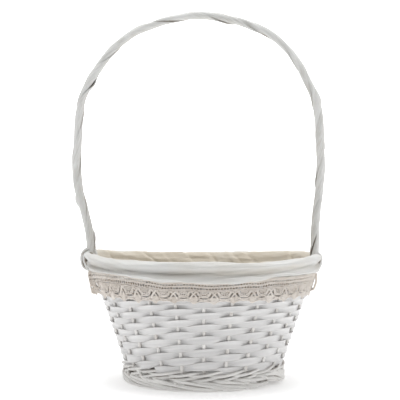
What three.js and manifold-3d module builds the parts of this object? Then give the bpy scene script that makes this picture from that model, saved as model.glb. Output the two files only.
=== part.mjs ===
// A flower girl basket: a small round willow basket on a woven foot, with a fixed roped hoop handle, a cotton
// liner turned over the rim as a padded cuff, and a band of cotton lace under the cuff.
//
// Millimetres, +Z up. The origin is the middle of the foot, on the surface that the basket stands on. The handle
// stands in the XZ plane and the front of the basket faces -Y. Neighbouring pieces keep a small gap.
import * as THREE from "three";
import { mergeVertices } from "three/addons/utils/BufferGeometryUtils.js";
import Module from "manifold-3d";

const wasm = await Module();
wasm.setup();

const TAU = 2 * Math.PI;
const GAP = 0.35; // between neighbouring pieces
const RING_FACETS = 48; // facets round each plain ring

// ---------------------------------------------------------------------------------------------------------------
// Driving dimensions
// ---------------------------------------------------------------------------------------------------------------

// The stakes stand in a cone, and everything in the wall is placed from that cone.
const STAKE_COUNT = 24;
const STAKE_RADIUS = 1.6;
const STAKE_FOOT_HEIGHT = 10.6;
const CONE_RADIUS_AT_TABLE = 70.6;
const CONE_SPREAD = 0.345; // how far the wall runs outwards for each millimetre of rise
const CONE_ANGLE = Math.atan(CONE_SPREAD);

// The wall is woven from flat split willow, over one stake and under the next.
const WEAVER_COUNT = 13;
const FIRST_WEAVER_HEIGHT = 25.4;
const WEAVER_PITCH = 6.05;
const WEAVER_THICKNESS = 1.3;
const WEAVER_WIDTH_ON_STAKE = 9.8;
const WEAVER_WIDTH_AT_CROSSING = 5.7;
const WEAVER_SWING = 2.75; // how far a strip's middle passes outside and inside the stakes' cone
const WEAVER_STEPS = 3; // facets from one stake to the next
const WALL_HALF = WEAVER_SWING + WEAVER_THICKNESS / 2;

// The foot is a rolled border that meets the table, with a band of waling on top of it.
const FOOT_INNER_RADIUS = 72;
const FOOT_OUTER_RADIUS = 81.3;
const FOOT_ROUNDING = 2.2;
const FOOT_BORDER_HEIGHT = 9.7;
const FOOT_WALE_TOP = 19.4;
const FOOT_WALE_OUTER_RADIUS = 82.4;
const FOOT_WALE_TAPER = 1; // how much narrower the waling is at its lower edge

// The base is a cross of split sticks, opened out like spokes, with bands woven round them.
const BASE_HEIGHT = 14.1;
const BASE_STICK_WIDTH = 4.4;
const BASE_STICK_REACH = 71.2;
const BASE_STICK_SPACING = 5;
const BASE_SPLIT_STICK_DEPTH = 4.4;
const BASE_THREADED_STICK_DEPTH = 2;
const BASE_SLIT_DEPTH = 2.7;
const BASE_BUNDLE_REACH = 10; // how far the three sticks of a bundle run side by side
const BASE_SPREAD_RADIUS = 21; // where the sticks have opened out to their spokes
const BASE_SPOKE_ANGLE = Math.PI / 6;
const BASE_SPOKES = 12;
const BASE_BAND_COUNT = 4;
const BASE_BAND_INNER_RADIUS = 23;
const BASE_BAND_PITCH = 12;
const BASE_BAND_THICKNESS = 1.4;
const BASE_BAND_SWING = 3.5;
const BASE_BAND_FLATNESS = 1.27; // keeps the band level across a spoke before it crosses over

// The rim border closes the top of the wall.
const RIM_HEIGHT = 111;
const RIM_HALF_DEPTH = 3.4;
const RIM_ABOVE = 4.6;
const RIM_BELOW = 7.4;

// The liner hangs inside the wall and turns over the rim as a cuff.
const LINER_THICKNESS = 1.25;
const LINER_BOTTOM_HEIGHT = 18.7;
const LINER_OUTSIDE = -WALL_HALF - GAP;
const LINER_INSIDE = LINER_OUTSIDE - LINER_THICKNESS;
// The cuff's hollow and its outside, as [square to the wall, along it] from the rim's middle.
const CUFF_POCKET = [
  [LINER_OUTSIDE, RIM_ABOVE],
  [-RIM_HALF_DEPTH, RIM_ABOVE + 2 * GAP],
  [RIM_HALF_DEPTH, RIM_ABOVE + 2 * GAP],
  [4.1, RIM_ABOVE],
  [4.4, -2],
  [5.6, -7.2],
];
const CUFF_OUTSIDE = [
  [7, -7.2],
  [8.2, -3],
  [7.6, 3.5],
  [4.5, 8.2],
  [0.5, 9.7],
  [-3.5, 9.3],
  [-5.9, 5.5],
  [LINER_INSIDE, -2],
];
const CUFF_HOLE_BOTTOM = 112;
const LACE_TOP = 103.5;
const LACE_BOTTOM = 82;
const LACE_THICKNESS = 1.2;
const LACE_INSIDE = WALL_HALF + 0.5;

// The handle is one bent bow with its sharpened ends pushed down the wall, and two strips roped round it.
const BOW_RADIUS = 2.3;
const BOW_TIP_RADIUS = 1.5;
const BOW_TIP_HEIGHT = 72;
const BOW_BESIDE_STAKE = 1.9;
const BOW_SHARPENED_HEIGHT = 117; // the sharpened end is even below this
const BOW_FULL_HEIGHT = 126; // and has reached the bow's full thickness here
const BOW_STEPS = 72;
const HANDLE_LEAN = 2.3; // the hoop sags this far towards -X
const ARCH_SPRING_HEIGHT = 264;
const ARCH_HALF_SPAN = 118.5;
const ARCH_POINT_ANGLES = [0, 30, 60];
const ARCH_RISE = 97.5;
const HANDLE_STRAIGHTENED_HEIGHT = 170; // above this the hoop leans in full and stands in the XZ plane
const LEG_POINTS = [
  // [distance from the middle, height]: upright out of the rim, then bowing outwards
  [112.4, 127],
  [113.6, 148],
  [118.6, 183],
  [121.2, 212],
  [120.6, 240],
];
const ROPE_START_HEIGHT = 125.5;
const ROPE_PITCH = 80;
const ROPE_STRIP_WIDTH = 6;
const ROPE_STRIP_THICKNESS = 1.3;
const ROPE_STEPS = 84;
const ROPE_NUDGE = 1e-4; // how far along the hoop to look each way for a strip's direction
const LASHING_WIDTH = 7;
const LASHING_THICKNESS = 1.3;
const LASHING_OFFSET = 9; // from the handle's leg, along the rim
const LASHING_STEPS = 14;
const LASHING_POINTS = [
  // [square to the wall, along it] from the rim's middle, from inside the basket to outside it
  [-7.2, 0],
  [-7.2, 5.8],
  [-4.2, 10.7],
  [0.6, 11.2],
  [5.6, 9.4],
  [9, 4],
  [9.5, -3.2],
  [8.3, -8],
];

// ---------------------------------------------------------------------------------------------------------------
// Materials
// ---------------------------------------------------------------------------------------------------------------

const willow = (color, roughness) => () => new THREE.MeshStandardMaterial({ color, roughness, metalness: 0 });
const paintedStrip = willow("#dcdbd9", 0.62);
const paintedRod = willow("#d6d3cd", 0.68);
const handleWillow = willow("#d3d1cb", 0.6);
const liningCotton = () => new THREE.MeshStandardMaterial({ color: "#e4e0d6", roughness: 0.95, metalness: 0 });
const laceCotton = () => new THREE.MeshStandardMaterial({ color: "#cdc3b8", roughness: 0.97, metalness: 0 });

// ---------------------------------------------------------------------------------------------------------------
// Geometry helpers
// ---------------------------------------------------------------------------------------------------------------

/** Joins a geometry's shared vertices, so that it is one closed surface. */
function closed(geometry) {
  geometry.deleteAttribute("normal");
  geometry.deleteAttribute("uv");
  return mergeVertices(geometry, 1e-5);
}

/** Moves every vertex of a closed geometry to where `place` puts it. */
function reshape(geometry, place) {
  const position = geometry.getAttribute("position");
  const vertex = new THREE.Vector3();
  for (let i = 0; i < position.count; i += 1) {
    vertex.fromBufferAttribute(position, i);
    const { x, y, z } = place(vertex.clone());
    position.setXYZ(i, x, y, z);
  }
  geometry.computeVertexNormals();
  return geometry;
}

/**
 * A ring round the Z axis with a four-sided section. `section(angle, outward, upward)` gives the [radius, height]
 * of a corner, where outward and upward are -1 or 1.
 */
function squareRing(facets, section) {
  const middle = 10; // of a plain torus, whose own size is lost when it is reshaped
  const torus = closed(new THREE.TorusGeometry(middle, 1, 4, facets));
  return reshape(torus, (vertex) => {
    const angle = Math.atan2(vertex.y, vertex.x);
    const turn = Math.atan2(vertex.z, Math.hypot(vertex.x, vertex.y) - middle) + Math.PI / 4;
    const [radius, height] = section(angle, Math.sign(Math.cos(turn)), Math.sign(Math.sin(turn)));
    return new THREE.Vector3(radius * Math.cos(angle), radius * Math.sin(angle), height);
  });
}

/** A ring with a closed profile of [radius, height] points, listed anticlockwise. */
function turnedRing(profile) {
  const outline = [...profile, profile[0]].map(([radius, height]) => new THREE.Vector2(radius, height));
  return closed(new THREE.LatheGeometry(outline, RING_FACETS)).rotateX(Math.PI / 2);
}

/**
 * A rod or strip bent along a path. `frame(t)` gives its centre and the two half-axes of its section, `side` and
 * `face`, with t from 0 to 1.
 */
function bentRod(sides, steps, frame) {
  const rod = closed(new THREE.CylinderGeometry(1, 1, 1, sides, steps));
  const corner = sides === 4 ? Math.SQRT2 : 1;
  const quarter = sides === 4 ? Math.PI / 4 : 0;
  return reshape(rod, (vertex) => {
    const { centre, side, face } = frame(vertex.y + 0.5);
    const reach = Math.hypot(vertex.x, vertex.z) * corner;
    const turn = Math.atan2(vertex.x, vertex.z) + quarter;
    return centre.addScaledVector(face, reach * Math.cos(turn)).addScaledVector(side, reach * Math.sin(turn));
  });
}

/** Cuts each tool away from a geometry. */
function cutAway(geometry, ...tools) {
  const solid = (shape) => {
    const mesh = shape.index ? shape : closed(shape);
    const vertProperties = new Float32Array(mesh.getAttribute("position").array);
    return new wasm.Manifold(
      new wasm.Mesh({ numProp: 3, vertProperties, triVerts: new Uint32Array(mesh.index.array) }),
    );
  };
  const cut = tools.reduce((rest, tool) => rest.subtract(solid(closed(tool))), solid(geometry)).getMesh();
  const result = new THREE.BufferGeometry();
  result.setAttribute("position", new THREE.BufferAttribute(cut.vertProperties, 3));
  result.setIndex(new THREE.BufferAttribute(cut.triVerts, 1));
  result.computeVertexNormals();
  return result;
}

// ---------------------------------------------------------------------------------------------------------------
// The wall's cone
// ---------------------------------------------------------------------------------------------------------------

const coneRadius = (height) => CONE_RADIUS_AT_TABLE + CONE_SPREAD * height;

/** The radius at a height of the surface that lies `out` outside the stakes' cone, measured square to it. */
const surfaceRadius = (height, out) => coneRadius(height) + out / Math.cos(CONE_ANGLE);

/** [radius, height] of a point that lies `out` square to the cone and `up` along it from the cone at a height. */
function wallPoint(height, out, up = 0) {
  return [
    coneRadius(height) + out * Math.cos(CONE_ANGLE) + up * Math.sin(CONE_ANGLE),
    height - out * Math.sin(CONE_ANGLE) + up * Math.cos(CONE_ANGLE),
  ];
}

// ---------------------------------------------------------------------------------------------------------------
// The group
// ---------------------------------------------------------------------------------------------------------------

const basket = new THREE.Group();

/** Adds a named piece to a group, by default the basket itself. */
function add(name, geometry, material, group = basket) {
  const mesh = new THREE.Mesh(geometry, material());
  mesh.name = name;
  group.add(mesh);
  return mesh;
}

const numbered = (name, index) => `${name}_${String(index + 1).padStart(2, "0")}`;

// Stakes: straight rods that lean out from the foot to the rim border. The two beside the handle's ends stand a
// little aside to make room for them.
const stakes = new THREE.Group();
basket.add(stakes);
const stakeTop = RIM_HEIGHT - (RIM_BELOW + GAP) * Math.cos(CONE_ANGLE);
const stakeLength = (stakeTop - STAKE_FOOT_HEIGHT) / Math.cos(CONE_ANGLE);
const stakeMiddle = (stakeTop + STAKE_FOOT_HEIGHT) / 2;
for (let i = 0; i < STAKE_COUNT; i += 1) {
  const spoke = new THREE.Group();
  spoke.rotation.z = (TAU * i) / STAKE_COUNT - Math.PI / 2;
  stakes.add(spoke);
  const besideHandle = i % (STAKE_COUNT / 2) === STAKE_COUNT / 4;
  const aside = besideHandle ? -BOW_BESIDE_STAKE * Math.sign(Math.cos(spoke.rotation.z)) : 0;
  const rod = new THREE.CylinderGeometry(STAKE_RADIUS, STAKE_RADIUS, stakeLength, 6).rotateX(Math.PI / 2);
  const stake = add(numbered("stake", i), rod, paintedRod, spoke);
  stake.position.set(coneRadius(stakeMiddle), aside, stakeMiddle);
  stake.rotation.y = CONE_ANGLE;
}

// Weavers: each is a closed ring that swings outside one stake and inside the next. A strip is widest on a stake
// and narrow where it crosses to the other side, so each float has the shape of a lens.
function weaver(index) {
  const height = FIRST_WEAVER_HEIGHT + WEAVER_PITCH * index;
  return squareRing(STAKE_COUNT * WEAVER_STEPS, (angle, outward, upward) => {
    const swing = Math.cos((STAKE_COUNT / 2) * angle + Math.PI * index);
    const widening = Math.max(0, 2 * Math.abs(swing) - 1);
    const width = THREE.MathUtils.lerp(WEAVER_WIDTH_AT_CROSSING, WEAVER_WIDTH_ON_STAKE, widening);
    const out = WEAVER_SWING * swing + (outward * WEAVER_THICKNESS) / 2;
    return wallPoint(height, out, (upward * width) / 2);
  });
}
for (let i = 0; i < WEAVER_COUNT; i += 1) add(numbered("weaver", i), weaver(i), paintedStrip);

// Base sticks: three are split and three are threaded through the slits. Past the cross they open out to spokes.
function baseStick(lane, depth) {
  const angle = lane * BASE_SPOKE_ANGLE;
  const half = [
    [BASE_BUNDLE_REACH, lane * BASE_STICK_SPACING],
    [BASE_SPREAD_RADIUS * Math.cos(angle), BASE_SPREAD_RADIUS * Math.sin(angle)],
    [BASE_STICK_REACH * Math.cos(angle), BASE_STICK_REACH * Math.sin(angle)],
  ];
  const points = [...half.map(([x, y]) => [-x, y]).reverse(), ...half];
  const steps = points.length - 1;
  return bentRod(4, steps, (t) => {
    const [x, y] = points[Math.round(t * steps)];
    return {
      centre: new THREE.Vector3(x, y, BASE_HEIGHT),
      side: new THREE.Vector3(0, 0, depth / 2),
      face: new THREE.Vector3(0, BASE_STICK_WIDTH / 2, 0),
    };
  });
}
const slitLength = 2 * BASE_STICK_SPACING + BASE_STICK_WIDTH + 2 * GAP;
const threadedSticks = new THREE.Group();
threadedSticks.rotation.z = Math.PI / 2;
basket.add(threadedSticks);
[-1, 0, 1].forEach((lane, i) => {
  const slit = new THREE.BoxGeometry(slitLength, 2 * BASE_STICK_WIDTH, BASE_SLIT_DEPTH);
  slit.translate(0, lane * BASE_STICK_SPACING, BASE_HEIGHT);
  add(numbered("base_split_stick", i), cutAway(baseStick(lane, BASE_SPLIT_STICK_DEPTH), slit), paintedRod);
  const threaded = baseStick(lane, BASE_THREADED_STICK_DEPTH);
  add(numbered("base_threaded_stick", i), threaded, paintedRod, threadedSticks);
});

// Base bands: closed rings woven over one spoke and under the next.
function baseBand(index) {
  const middle = BASE_BAND_INNER_RADIUS + BASE_BAND_PITCH * (index + 0.5);
  const halfWidth = (BASE_BAND_PITCH - GAP) / 2;
  return squareRing(BASE_SPOKES * 4, (angle, outward, upward) => {
    const wave = BASE_BAND_FLATNESS * Math.cos((BASE_SPOKES / 2) * angle + Math.PI * index);
    const swing = BASE_BAND_SWING * THREE.MathUtils.clamp(wave, -1, 1);
    return [middle + outward * halfWidth, BASE_HEIGHT + swing + (upward * BASE_BAND_THICKNESS) / 2];
  });
}
for (let i = 0; i < BASE_BAND_COUNT; i += 1) add(numbered("base_band", i), baseBand(i), paintedRod);

// The foot: the rolled border stands on the table on its flat underside, and the waling hugs the stakes above it.
const footBorder = [
  [FOOT_INNER_RADIUS, 0],
  [FOOT_OUTER_RADIUS - FOOT_ROUNDING, 0],
  [FOOT_OUTER_RADIUS, FOOT_ROUNDING],
  [FOOT_OUTER_RADIUS, FOOT_BORDER_HEIGHT - FOOT_ROUNDING],
  [FOOT_OUTER_RADIUS - FOOT_ROUNDING, FOOT_BORDER_HEIGHT],
  [FOOT_INNER_RADIUS, FOOT_BORDER_HEIGHT],
];
add("foot_border", turnedRing(footBorder), paintedRod);
const waleBottom = FOOT_BORDER_HEIGHT + GAP;
const waleMiddle = (waleBottom + FOOT_WALE_TOP) / 2;
const waleInside = STAKE_RADIUS + GAP;
const footWale = [
  [surfaceRadius(waleBottom, waleInside), waleBottom],
  [FOOT_WALE_OUTER_RADIUS - FOOT_WALE_TAPER, waleBottom],
  [FOOT_WALE_OUTER_RADIUS, waleMiddle],
  [FOOT_WALE_OUTER_RADIUS, FOOT_WALE_TOP],
  [surfaceRadius(FOOT_WALE_TOP, waleInside), FOOT_WALE_TOP],
];
add("foot_wale", turnedRing(footWale), paintedRod);

// The handle's path: up the wall beside a stake, out of the rim, round the hoop and down the other side.
function handleHalf() {
  const wallHeights = [BOW_TIP_HEIGHT, (BOW_TIP_HEIGHT + RIM_HEIGHT) / 2, RIM_HEIGHT, RIM_HEIGHT + RIM_BELOW];
  const inWall = wallHeights.map((height) => [coneRadius(height), height]);
  const arch = ARCH_POINT_ANGLES.map((degrees) => {
    const angle = THREE.MathUtils.degToRad(degrees);
    return [ARCH_HALF_SPAN * Math.cos(angle), ARCH_SPRING_HEIGHT + ARCH_RISE * Math.sin(angle)];
  });
  return [...inWall, ...LEG_POINTS, ...arch];
}
function handlePoint([x, z]) {
  const lean = HANDLE_LEAN * THREE.MathUtils.smoothstep(z, RIM_HEIGHT, HANDLE_STRAIGHTENED_HEIGHT);
  const beside = BOW_BESIDE_STAKE * (1 - THREE.MathUtils.smoothstep(z, RIM_HEIGHT, HANDLE_STRAIGHTENED_HEIGHT));
  return new THREE.Vector3(x - lean, beside, z);
}
const rightHalf = handleHalf();
const leftHalf = rightHalf.map(([x, z]) => [-x, z]);
const crown = [0, ARCH_SPRING_HEIGHT + ARCH_RISE];
const handlePath = new THREE.CatmullRomCurve3([...leftHalf, crown, ...rightHalf.toReversed()].map(handlePoint));
handlePath.arcLengthDivisions = 600; // so that even steps of t are even steps along the hoop

/** How far along the handle's path, from 0 to 0.5, the left leg reaches a height. */
function legPosition(height) {
  let [low, high] = [0, 0.5];
  for (let i = 0; i < 30; i += 1) {
    const middle = (low + high) / 2;
    if (handlePath.getPointAt(middle).z < height) low = middle;
    else high = middle;
  }
  return low;
}

/** The path's point at t, with the hoop's inward direction there. */
function handleFrame(t) {
  const along = handlePath.getTangentAt(t);
  const sideways = new THREE.Vector3(0, 1, 0);
  return { centre: handlePath.getPointAt(t), sideways, inward: new THREE.Vector3().crossVectors(sideways, along) };
}

const bow = bentRod(6, BOW_STEPS, (t) => {
  const { centre, sideways, inward } = handleFrame(t);
  const fullness = THREE.MathUtils.smoothstep(centre.z, BOW_SHARPENED_HEIGHT, BOW_FULL_HEIGHT);
  const radius = THREE.MathUtils.lerp(BOW_TIP_RADIUS, BOW_RADIUS, fullness);
  return { centre, side: sideways.multiplyScalar(radius), face: inward.multiplyScalar(radius) };
});
add("handle_bow", bow, handleWillow);

// Rope strips: two flat strips wound round the bow on opposite sides of it, like the strands of a rope.
function ropeStrip(phase) {
  const start = legPosition(ROPE_START_HEIGHT);
  const turns = (handlePath.getLength() * (1 - 2 * start)) / ROPE_PITCH;
  const reach = BOW_RADIUS + GAP + ROPE_STRIP_THICKNESS / 2;
  const outwardAt = (t) => {
    const { sideways, inward } = handleFrame(t);
    const turn = TAU * (turns * t + phase);
    return inward.multiplyScalar(Math.cos(turn)).addScaledVector(sideways, Math.sin(turn));
  };
  const centreAt = (t) => handlePath.getPointAt(t).addScaledVector(outwardAt(t), reach);
  return bentRod(4, ROPE_STEPS, (step) => {
    const t = THREE.MathUtils.lerp(start, 1 - start, step);
    const face = outwardAt(t);
    const along = centreAt(t + ROPE_NUDGE).sub(centreAt(t - ROPE_NUDGE)).normalize();
    const side = new THREE.Vector3().crossVectors(along, face).multiplyScalar(ROPE_STRIP_WIDTH / 2);
    return { centre: centreAt(t), side, face: face.multiplyScalar(ROPE_STRIP_THICKNESS / 2) };
  });
}
[0, 0.5].forEach((phase, i) => add(numbered("handle_rope_strip", i), ropeStrip(phase), handleWillow));

/** A round hole along the handle's two legs, between two heights, to cut out of what they pass through. */
function legHoles(radius, from, to) {
  return [1, -1].map((side) => {
    const ends = [from, to].map((height) => {
      const t = legPosition(height);
      return handlePath.getPointAt(side < 0 ? t : 1 - t);
    });
    const along = new THREE.Vector3().subVectors(ends[1], ends[0]);
    const turn = new THREE.Quaternion().setFromUnitVectors(new THREE.Vector3(0, 1, 0), along.clone().normalize());
    const hole = new THREE.CylinderGeometry(radius, radius, along.length(), 12).applyQuaternion(turn);
    const middle = ends[0].add(ends[1]).multiplyScalar(0.5);
    return hole.translate(middle.x, middle.y, middle.z);
  });
}

// The rim border, with a hole for each end of the bow.
const rimBorder = [
  [RIM_HALF_DEPTH, -RIM_BELOW],
  [RIM_HALF_DEPTH, RIM_ABOVE],
  [-RIM_HALF_DEPTH, RIM_ABOVE],
  [-RIM_HALF_DEPTH, -RIM_BELOW],
].map(([out, up]) => wallPoint(RIM_HEIGHT, out, up));
const borderHoles = legHoles(BOW_TIP_RADIUS + 2 * GAP, RIM_HEIGHT - 2 * RIM_BELOW, RIM_HEIGHT + 2 * RIM_ABOVE);
add("rim_border", cutAway(turnedRing(rimBorder), ...borderHoles), paintedRod);

// The liner: one piece of cloth up the inside of the wall and over the rim, where it is padded out as a cuff and
// slit for the handle. The profile is anticlockwise.
const liner = [
  [surfaceRadius(LINER_BOTTOM_HEIGHT, LINER_INSIDE), LINER_BOTTOM_HEIGHT],
  [surfaceRadius(LINER_BOTTOM_HEIGHT, LINER_OUTSIDE), LINER_BOTTOM_HEIGHT],
  ...[...CUFF_POCKET, ...CUFF_OUTSIDE].map(([out, up]) => wallPoint(RIM_HEIGHT, out, up)),
];
const cuffHoles = legHoles(BOW_RADIUS + 2 * GAP, CUFF_HOLE_BOTTOM, BOW_FULL_HEIGHT);
add("liner_side", cutAway(turnedRing(liner), ...cuffHoles), liningCotton);
const bottomRadius = surfaceRadius(LINER_BOTTOM_HEIGHT, LINER_INSIDE) - GAP;
const linerBottom = new THREE.CylinderGeometry(bottomRadius, bottomRadius, LINER_THICKNESS, RING_FACETS);
const bottomPiece = add("liner_bottom", linerBottom.rotateX(Math.PI / 2), liningCotton);
bottomPiece.position.z = LINER_BOTTOM_HEIGHT + LINER_THICKNESS / 2;

// The lace: a band of even thickness that hangs from under the cuff against the outside of the wall.
const laceOutside = LACE_INSIDE + LACE_THICKNESS;
const lace = [
  [surfaceRadius(LACE_BOTTOM, LACE_INSIDE), LACE_BOTTOM],
  [surfaceRadius(LACE_BOTTOM, laceOutside), LACE_BOTTOM],
  [surfaceRadius(LACE_TOP, laceOutside), LACE_TOP],
  [surfaceRadius(LACE_TOP, LACE_INSIDE), LACE_TOP],
];
add("lace_trim", turnedRing(lace), laceCotton);

// Lashings: strips that tie the handle to the rim, over the cuff on each side of each leg, from the inside to the
// outside.
const lashingPath = new THREE.CatmullRomCurve3(
  LASHING_POINTS.map(([out, up]) => {
    const [radius, height] = wallPoint(RIM_HEIGHT, out, up);
    return new THREE.Vector3(radius, 0, height);
  }),
);
function lashing() {
  return bentRod(4, LASHING_STEPS, (t) => {
    const side = new THREE.Vector3(0, 1, 0);
    const face = new THREE.Vector3().crossVectors(side, lashingPath.getTangentAt(t));
    return {
      centre: lashingPath.getPointAt(t),
      side: side.multiplyScalar(LASHING_WIDTH / 2),
      face: face.multiplyScalar(LASHING_THICKNESS / 2),
    };
  });
}
const toAngle = (offset) => offset / coneRadius(RIM_HEIGHT);
const legAngles = { right: toAngle(BOW_BESIDE_STAKE), left: Math.PI - toAngle(BOW_BESIDE_STAKE) };
for (const [end, legAngle] of Object.entries(legAngles)) {
  for (const [face, towards] of Object.entries({ front: -1, back: 1 })) {
    const piece = add(`lashing_${end}_${face}`, lashing(), handleWillow);
    piece.rotation.z = legAngle + towards * Math.sign(Math.cos(legAngle)) * toAngle(LASHING_OFFSET);
  }
}

export default basket;
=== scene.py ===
"""The looks of the flower girl basket, built over its CAD frame.

Every piece is shaped here in millimetres, in the row frame, and turned into metres when its mesh is made.
Places round the basket are given as an angle in degrees from the front, growing to the right, so the right
leg of the handle is at 90 and the left leg at -90.
"""

import math

import bpy
import numpy as np
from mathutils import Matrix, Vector


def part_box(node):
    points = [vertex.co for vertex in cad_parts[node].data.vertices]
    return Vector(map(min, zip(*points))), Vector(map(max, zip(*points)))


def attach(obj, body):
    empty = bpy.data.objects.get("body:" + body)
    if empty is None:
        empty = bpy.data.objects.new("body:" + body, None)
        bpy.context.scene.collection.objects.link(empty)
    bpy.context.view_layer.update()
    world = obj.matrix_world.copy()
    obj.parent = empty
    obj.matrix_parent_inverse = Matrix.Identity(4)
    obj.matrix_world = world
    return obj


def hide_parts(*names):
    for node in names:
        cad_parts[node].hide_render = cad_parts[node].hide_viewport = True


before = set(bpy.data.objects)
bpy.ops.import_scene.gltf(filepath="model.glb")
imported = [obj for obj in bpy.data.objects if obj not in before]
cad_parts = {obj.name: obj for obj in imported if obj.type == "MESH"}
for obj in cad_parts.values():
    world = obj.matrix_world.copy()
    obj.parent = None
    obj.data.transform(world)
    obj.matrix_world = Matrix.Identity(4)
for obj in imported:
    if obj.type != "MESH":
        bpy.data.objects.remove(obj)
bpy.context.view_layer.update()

MM = 0.001
RIGHT = 90
LEFT = -90
UPRIGHT = np.array([0, 0, 1.0])
EAST = np.array([1.0, 0, 0])
NORTH = np.array([0, 1.0, 0])

# ---- Camera ----

CAMERA_PLACE = (-0.0035, -1.056, 0.1775)
CAMERA_LENS = 95.4
CAMERA_SENSOR = 36

camera = bpy.data.objects.new("camera", bpy.data.cameras.new("camera"))
camera.data.lens = CAMERA_LENS
camera.data.sensor_width = CAMERA_SENSOR
camera.location = CAMERA_PLACE
camera.rotation_euler = (math.radians(90), 0, 0)
bpy.context.scene.collection.objects.link(camera)
bpy.context.scene.camera = camera

# ---- Measures taken from the frame ----


def cad_points(node):
    """A CAD node's vertices, in millimetres."""
    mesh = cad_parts[node].data
    points = np.empty(len(mesh.vertices) * 3, np.float32)
    mesh.vertices.foreach_get("co", points)
    return points.reshape(-1, 3).astype(float) / MM


def rod_ends(node):
    """The middle of the lower end and of the upper end of a straight CAD rod."""
    points = cad_points(node)
    points = points[np.argsort(points[:, 2])]
    half = len(points) // 2
    return points[:half].mean(0), points[half:].mean(0)


def heights(node):
    """A CAD node's lowest and highest height."""
    low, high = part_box(node)
    return low.z / MM, high.z / MM


def nodes_named(start):
    """The CAD nodes whose names start so, in order."""
    return sorted(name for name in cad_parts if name.startswith(start))


STAKES = nodes_named("stake_")
WEAVERS = nodes_named("weaver_")
stake_ends = [rod_ends(name) for name in STAKES]
STAKE_STEP = 360 / len(STAKES)

foot_end, rim_end = stake_ends[0]
CONE_SPREAD = (math.hypot(*rim_end[:2]) - math.hypot(*foot_end[:2])) / (rim_end[2] - foot_end[2])
CONE_AT_TABLE = math.hypot(*foot_end[:2]) - CONE_SPREAD * foot_end[2]
CONE_ANGLE = math.atan(CONE_SPREAD)

FIRST_ROW = sum(heights(WEAVERS[0])) / 2
FOOT_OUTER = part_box("foot_border")[1].x / MM
RIM_HEIGHT = 111.0  # the middle of the rim's border
RIM_RADIUS = CONE_AT_TABLE + CONE_SPREAD * RIM_HEIGHT
LINER_FLOOR = heights("liner_bottom")[1]


def directions(angle):
    """The outward direction at each angle round the basket."""
    turn = np.radians(angle)
    return np.stack([np.sin(turn), -np.cos(turn), np.zeros_like(turn)], -1)


def at(angle, radius, height):
    """Points at an angle from the front, a radius and a height."""
    angle, radius, height = np.broadcast_arrays(*(np.asarray(v, float) for v in (angle, radius, height)))
    return directions(angle) * radius[..., None] + UPRIGHT * height[..., None]


def wall(angle, height, out=0.0, up=0.0):
    """Points near the wall, `out` square to the stakes' cone and `up` along it from the cone at a height."""
    height, out, up = (np.asarray(v, float) for v in (height, out, up))
    radius = CONE_AT_TABLE + CONE_SPREAD * height + out * math.cos(CONE_ANGLE) + up * math.sin(CONE_ANGLE)
    return at(angle, radius, height - out * math.sin(CONE_ANGLE) + up * math.cos(CONE_ANGLE))


def wall_outward(angle):
    """The direction square to the wall, outwards."""
    return directions(angle) * math.cos(CONE_ANGLE) - UPRIGHT * math.sin(CONE_ANGLE)


# ---- Shaping helpers ----

NOISE_KNOTS = 1024  # of noise that doesn't join up with itself
SPLINE_STEPS = 24  # between each two points of a curve


def wander(x, wavelength, seed, period=None):
    """Smooth seeded noise from -1 to 1 along x. With a period it joins up with itself."""
    count = max(2, round(period / wavelength)) if period else NOISE_KNOTS
    knots = np.random.default_rng(seed).uniform(-1, 1, count)
    place = np.asarray(x, float) / (period / count if period else wavelength)
    index = np.floor(place).astype(int)
    part = place - index
    part = part * part * (3 - 2 * part)
    return knots[index % count] * (1 - part) + knots[(index + 1) % count] * part


def smooth(x, low, high):
    """0 below low, 1 above high, and a soft step between."""
    part = np.clip((np.asarray(x, float) - low) / (high - low), 0, 1)
    return part * part * (3 - 2 * part)


def near(angle, middle, width):
    """1 at an angle round the basket, falling softly to 0 at `width` degrees from it."""
    away = np.abs((np.asarray(angle, float) - middle + 180) % 360 - 180)
    return 1 - smooth(away, 0, width)


def spline(points, count, closed=False):
    """`count` points, evenly spaced, along a Catmull-Rom curve through the given points."""
    points = np.asarray(points, float)
    if closed:
        knots = np.concatenate([points[-1:], points, points[:2]])
    else:
        knots = np.concatenate([2 * points[:1] - points[1:2], points, 2 * points[-1:] - points[-2:-1]])
    t = np.linspace(0, 1, SPLINE_STEPS, endpoint=False)[:, None]
    pieces = []
    for a, b, c, d in zip(knots, knots[1:], knots[2:], knots[3:]):
        squared, cubed = 2 * a - 5 * b + 4 * c - d, 3 * b - a - 3 * c + d
        pieces.append(0.5 * (2 * b + (c - a) * t + squared * t**2 + cubed * t**3))
    line = np.concatenate([*pieces, knots[-2:-1]])
    travelled = np.concatenate([[0], np.cumsum(np.linalg.norm(np.diff(line, axis=0), axis=1))])
    wanted = np.linspace(0, travelled[-1], count, endpoint=not closed)
    return np.stack([np.interp(wanted, travelled, line[:, k]) for k in range(line.shape[1])], -1)


def length_along(path):
    """How far along a path each of its points is."""
    return np.concatenate([[0], np.cumsum(np.linalg.norm(np.diff(path, axis=0), axis=1))])


def axes(path, facing):
    """The side and face directions at each point of a path, with the face turned towards `facing`."""
    along = np.gradient(path, axis=0)
    along /= np.linalg.norm(along, axis=1)[:, None]
    side = np.cross(facing, along)
    side /= np.linalg.norm(side, axis=1)[:, None]
    return side, np.cross(along, side)


def axes_of_loop(path, facing):
    """The same as axes, for a path that joins up with itself."""
    longer = np.concatenate([path[-1:], path, path[:1]])
    facing = np.broadcast_to(facing, path.shape)
    side, face = axes(longer, np.concatenate([facing[-1:], facing, facing[:1]]))
    return side[1:-1], face[1:-1]


def round_section(radius, sides=8):
    """A round section as (side, face) offsets. `radius` is one number, or one for each station."""
    turn = 2 * np.pi * np.arange(sides) / sides
    circle = np.stack([np.sin(turn), np.cos(turn)], -1)
    return np.asarray(radius, float).reshape(-1, 1, 1) * circle


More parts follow.
